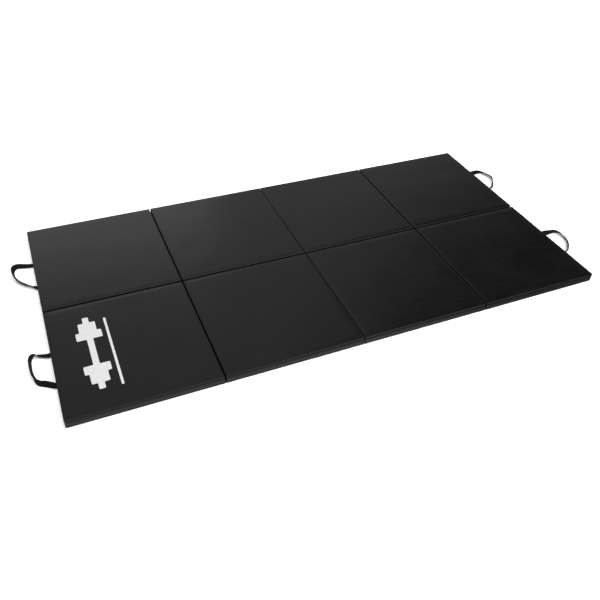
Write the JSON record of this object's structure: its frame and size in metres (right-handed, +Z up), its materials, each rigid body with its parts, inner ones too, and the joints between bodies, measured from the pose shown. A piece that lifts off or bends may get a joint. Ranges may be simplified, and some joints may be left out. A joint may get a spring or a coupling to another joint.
{
  "type": "folding gym mat",
  "caption": "Large black folding gym mat: square vinyl-covered foam panels joined by sewn hinge strips, with webbing carrying handles on both ends.",
  "frame": {"origin": "on the floor under the middle of the mat, which lies unfolded", "axes": "+X runs along the two rows of panels, from column 1 to column 4; +Y runs across them, from row b to row a; +Z is up"},
  "size_m": [2.6538, 1.22, 0.038],
  "materials": {
    "cover_vinyl": "semi-matt black coated vinyl with a fine grain",
    "hinge_vinyl": "matt black coated vinyl",
    "handle_webbing": "woven black webbing",
    "foam_core": "off-white closed-cell foam"
  },
  "bodies": {
    "panel_a1": {"foam_a1": "foam_core", "top_cover_a1": "cover_vinyl", "side_band_a1": "cover_vinyl", "bottom_cover_a1": "cover_vinyl", "row_hinge_strip": "hinge_vinyl"},
    "panel_a2": {"foam_a2": "foam_core", "top_cover_a2": "cover_vinyl", "side_band_a2": "cover_vinyl", "bottom_cover_a2": "cover_vinyl", "hinge_strip_a12": "hinge_vinyl"},
    "panel_a3": {"foam_a3": "foam_core", "top_cover_a3": "cover_vinyl", "side_band_a3": "cover_vinyl", "bottom_cover_a3": "cover_vinyl", "hinge_strip_a23": "hinge_vinyl", "hinge_strip_a34": "hinge_vinyl"},
    "panel_a4": {"foam_a4": "foam_core", "top_cover_a4": "cover_vinyl", "side_band_a4": "cover_vinyl", "bottom_cover_a4": "cover_vinyl"},
    "panel_b1": {"foam_b1": "foam_core", "top_cover_b1": "cover_vinyl", "side_band_b1": "cover_vinyl", "bottom_cover_b1": "cover_vinyl"},
    "panel_b2": {"foam_b2": "foam_core", "top_cover_b2": "cover_vinyl", "side_band_b2": "cover_vinyl", "bottom_cover_b2": "cover_vinyl", "hinge_strip_b12": "hinge_vinyl"},
    "panel_b3": {"foam_b3": "foam_core", "top_cover_b3": "cover_vinyl", "side_band_b3": "cover_vinyl", "bottom_cover_b3": "cover_vinyl", "hinge_strip_b23": "hinge_vinyl", "hinge_strip_b34": "hinge_vinyl"},
    "panel_b4": {"foam_b4": "foam_core", "top_cover_b4": "cover_vinyl", "side_band_b4": "cover_vinyl", "bottom_cover_b4": "cover_vinyl"},
    "grip_a1": {"handle_a1": "handle_webbing"},
    "grip_a4": {"handle_a4": "handle_webbing"},
    "grip_b1": {"handle_b1": "handle_webbing"},
    "grip_b4": {"handle_b4": "handle_webbing"}
  },
  "joints": [
    {"name": "fold_a23", "type": "hinge", "parent": "panel_a3", "child": "panel_a2", "pos_m": [0, 0.307, 0.0385], "axis": [0, 1, 0], "range_deg": [0, 180], "deforming": ["hinge_strip_a23"]},
    {"name": "fold_a12", "type": "hinge", "parent": "panel_a2", "child": "panel_a1", "pos_m": [-0.61, 0.307, -0.0005], "axis": [0, -1, 0], "range_deg": [0, 180], "deforming": ["hinge_strip_a12"]},
    {"name": "fold_a34", "type": "hinge", "parent": "panel_a3", "child": "panel_a4", "pos_m": [0.61, 0.307, -0.0005], "axis": [0, 1, 0], "range_deg": [0, 180], "deforming": ["hinge_strip_a34"]},
    {"name": "fold_rows", "type": "hinge", "parent": "panel_a1", "child": "panel_b1", "pos_m": [-0.915, 0, 0.0385], "axis": [-1, 0, 0], "range_deg": [0, 180], "deforming": ["row_hinge_strip"]},
    {"name": "fold_b12", "type": "hinge", "parent": "panel_b1", "child": "panel_b2", "pos_m": [-0.61, -0.307, -0.0005], "axis": [0, 1, 0], "range_deg": [0, 180], "deforming": ["hinge_strip_b12"]},
    {"name": "fold_b23", "type": "hinge", "parent": "panel_b2", "child": "panel_b3", "pos_m": [0, -0.307, 0.0385], "axis": [0, -1, 0], "range_deg": [0, 180], "deforming": ["hinge_strip_b23"]},
    {"name": "fold_b34", "type": "hinge", "parent": "panel_b3", "child": "panel_b4", "pos_m": [0.61, -0.307, -0.0005], "axis": [0, 1, 0], "range_deg": [0, 180], "deforming": ["hinge_strip_b34"]},
    {"name": "swing_a1", "type": "hinge", "parent": "panel_a1", "child": "grip_a1", "pos_m": [-1.2216, 0.307, 0.015], "axis": [0, -1, 0], "range_deg": [-90, 1]},
    {"name": "swing_a4", "type": "hinge", "parent": "panel_a4", "child": "grip_a4", "pos_m": [1.2216, 0.307, 0.015], "axis": [0, 1, 0], "range_deg": [-90, 1]},
    {"name": "swing_b1", "type": "hinge", "parent": "panel_b1", "child": "grip_b1", "pos_m": [-1.2216, -0.307, 0.015], "axis": [0, -1, 0], "range_deg": [-90, 1]},
    {"name": "swing_b4", "type": "hinge", "parent": "panel_b4", "child": "grip_b4", "pos_m": [1.2216, -0.307, 0.015], "axis": [0, 1, 0], "range_deg": [-90, 1]}
  ],
  "couplings": [
    {"joint": "fold_a12", "follows": "fold_a23", "ratio": 1},
    {"joint": "fold_a34", "follows": "fold_a23", "ratio": 1},
    {"joint": "fold_b12", "follows": "fold_a23", "ratio": 1},
    {"joint": "fold_b23", "follows": "fold_a23", "ratio": 1},
    {"joint": "fold_b34", "follows": "fold_a23", "ratio": 1}
  ]
}
